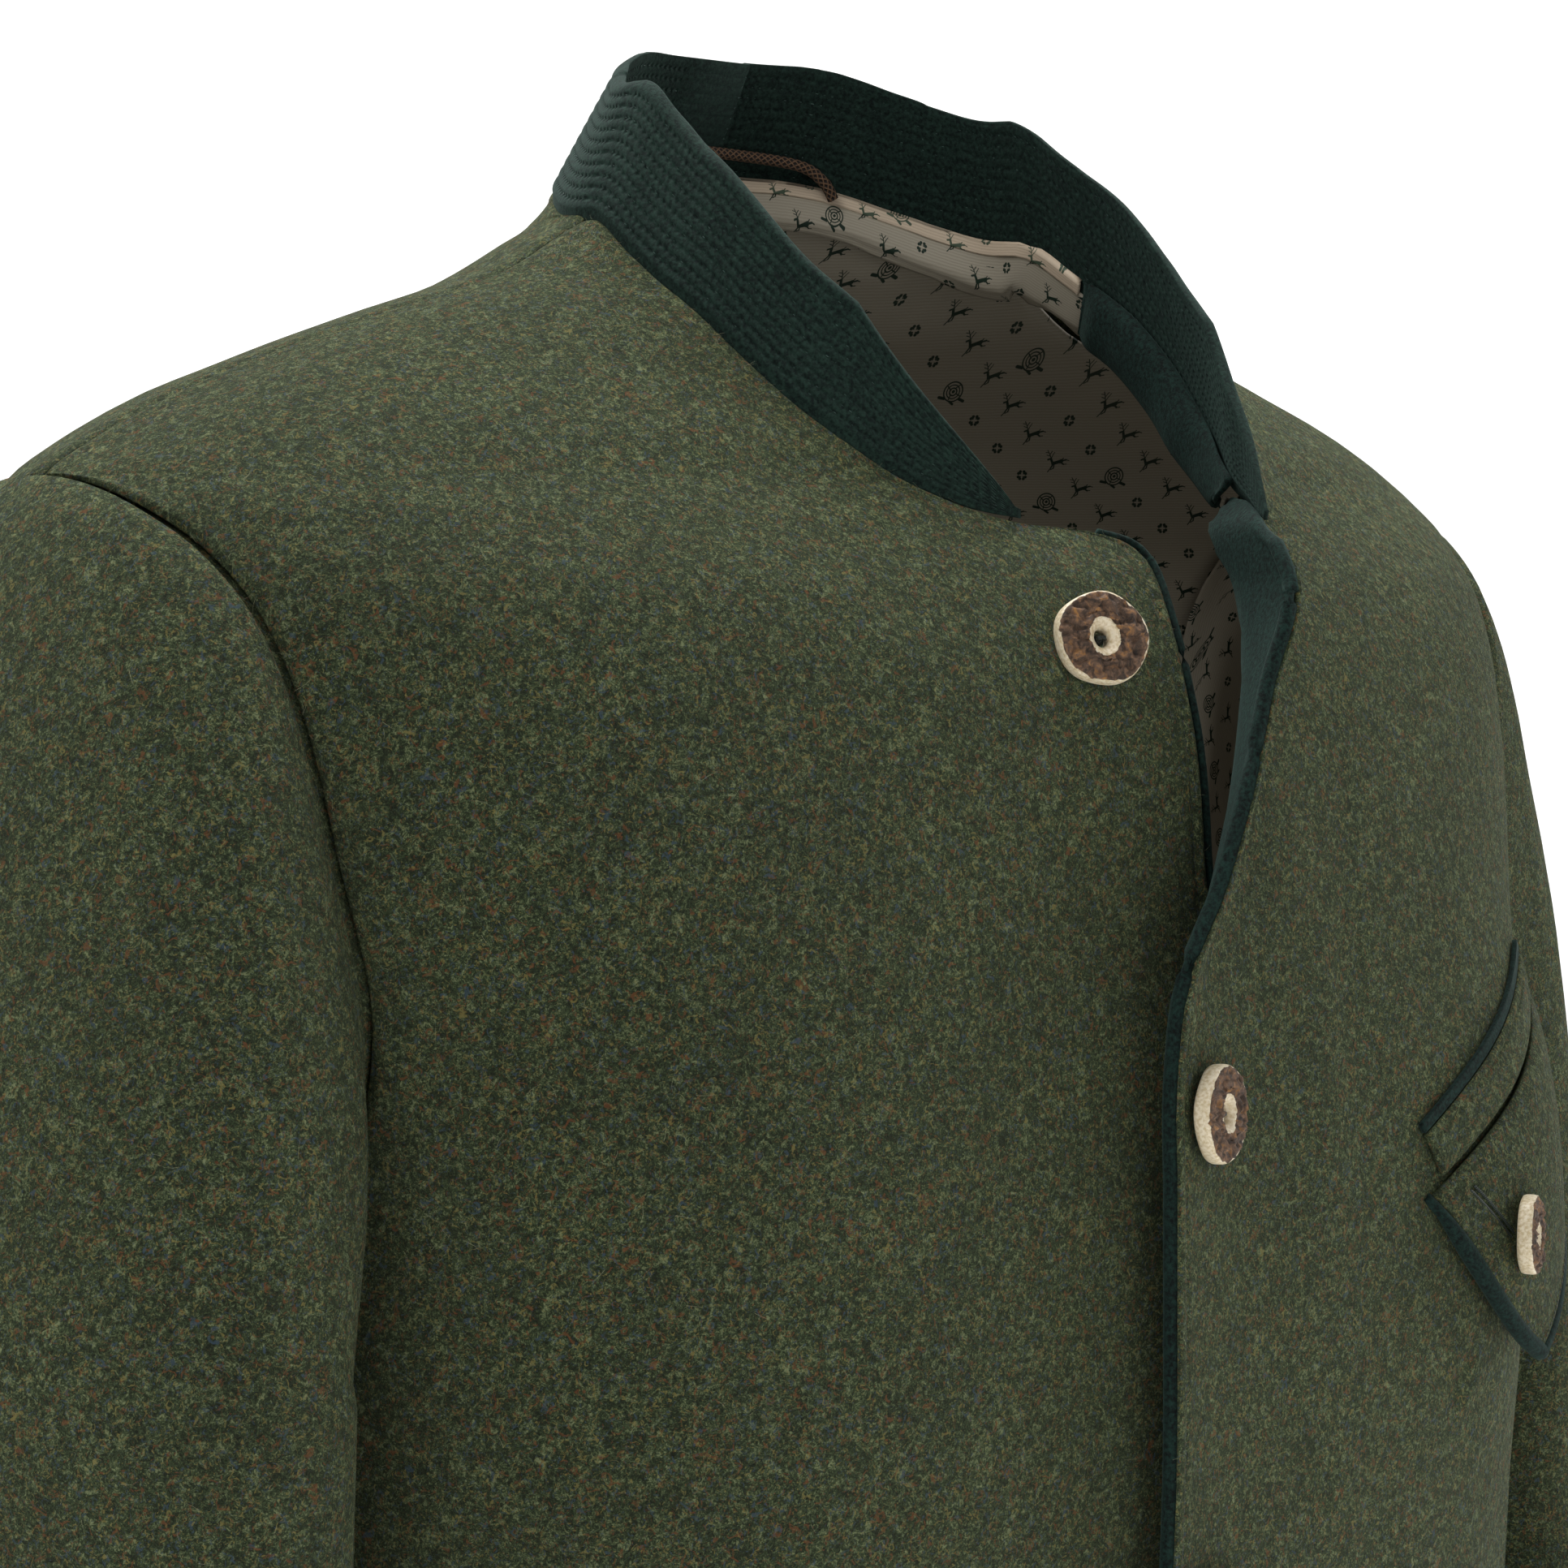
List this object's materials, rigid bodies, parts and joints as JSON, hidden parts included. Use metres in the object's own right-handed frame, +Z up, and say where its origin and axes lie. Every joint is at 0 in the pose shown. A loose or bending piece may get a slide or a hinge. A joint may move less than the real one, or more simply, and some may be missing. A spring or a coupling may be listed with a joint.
{
  "type": "tyrolean loden jacket",
  "caption": "Loden jacket with a quilted felt stand collar, staghorn buttons and a chest pocket with a pointed flap, standing open at the neck as if worn, with no wearer.",
  "frame": {"origin": "middle of the neck hole, level with the tops of the shoulders", "axes": "+Z up, the front faces -Y, the wearer's left is +X"},
  "size_m": [0.6238, 0.2594, 0.7737],
  "materials": {
    "loden": "fulled melange wool with a short fuzzy nap",
    "felt": "dense bottle-green wool felt",
    "lining": "smooth printed lining cloth",
    "tape": "cream printed tape",
    "staghorn": "antler slice with brown furrowed bark and cream core",
    "cord": "braided cotton cord"
  },
  "bodies": {
    "root": {"back": "loden", "front_left": "loden", "front_right": "loden", "sleeve_left": "loden", "sleeve_right": "loden", "pocket_welt": "loden", "pocket_flap": "loden", "collar": "felt", "facing_left": "felt", "facing_right": "felt", "neck_facing_left": "felt", "neck_facing_right": "felt", "pocket_lip": "felt", "pocket_flap_facing": "felt", "lining_back": "lining", "lining_left": "lining", "lining_right": "lining", "sleeve_lining_left": "lining", "sleeve_lining_right": "lining", "neck_tape": "tape", "button_1": "staghorn", "button_2": "staghorn", "button_3": "staghorn", "button_4": "staghorn", "button_5": "staghorn", "pocket_button": "staghorn", "hanging_loop": "cord"}
  },
  "joints": []
}
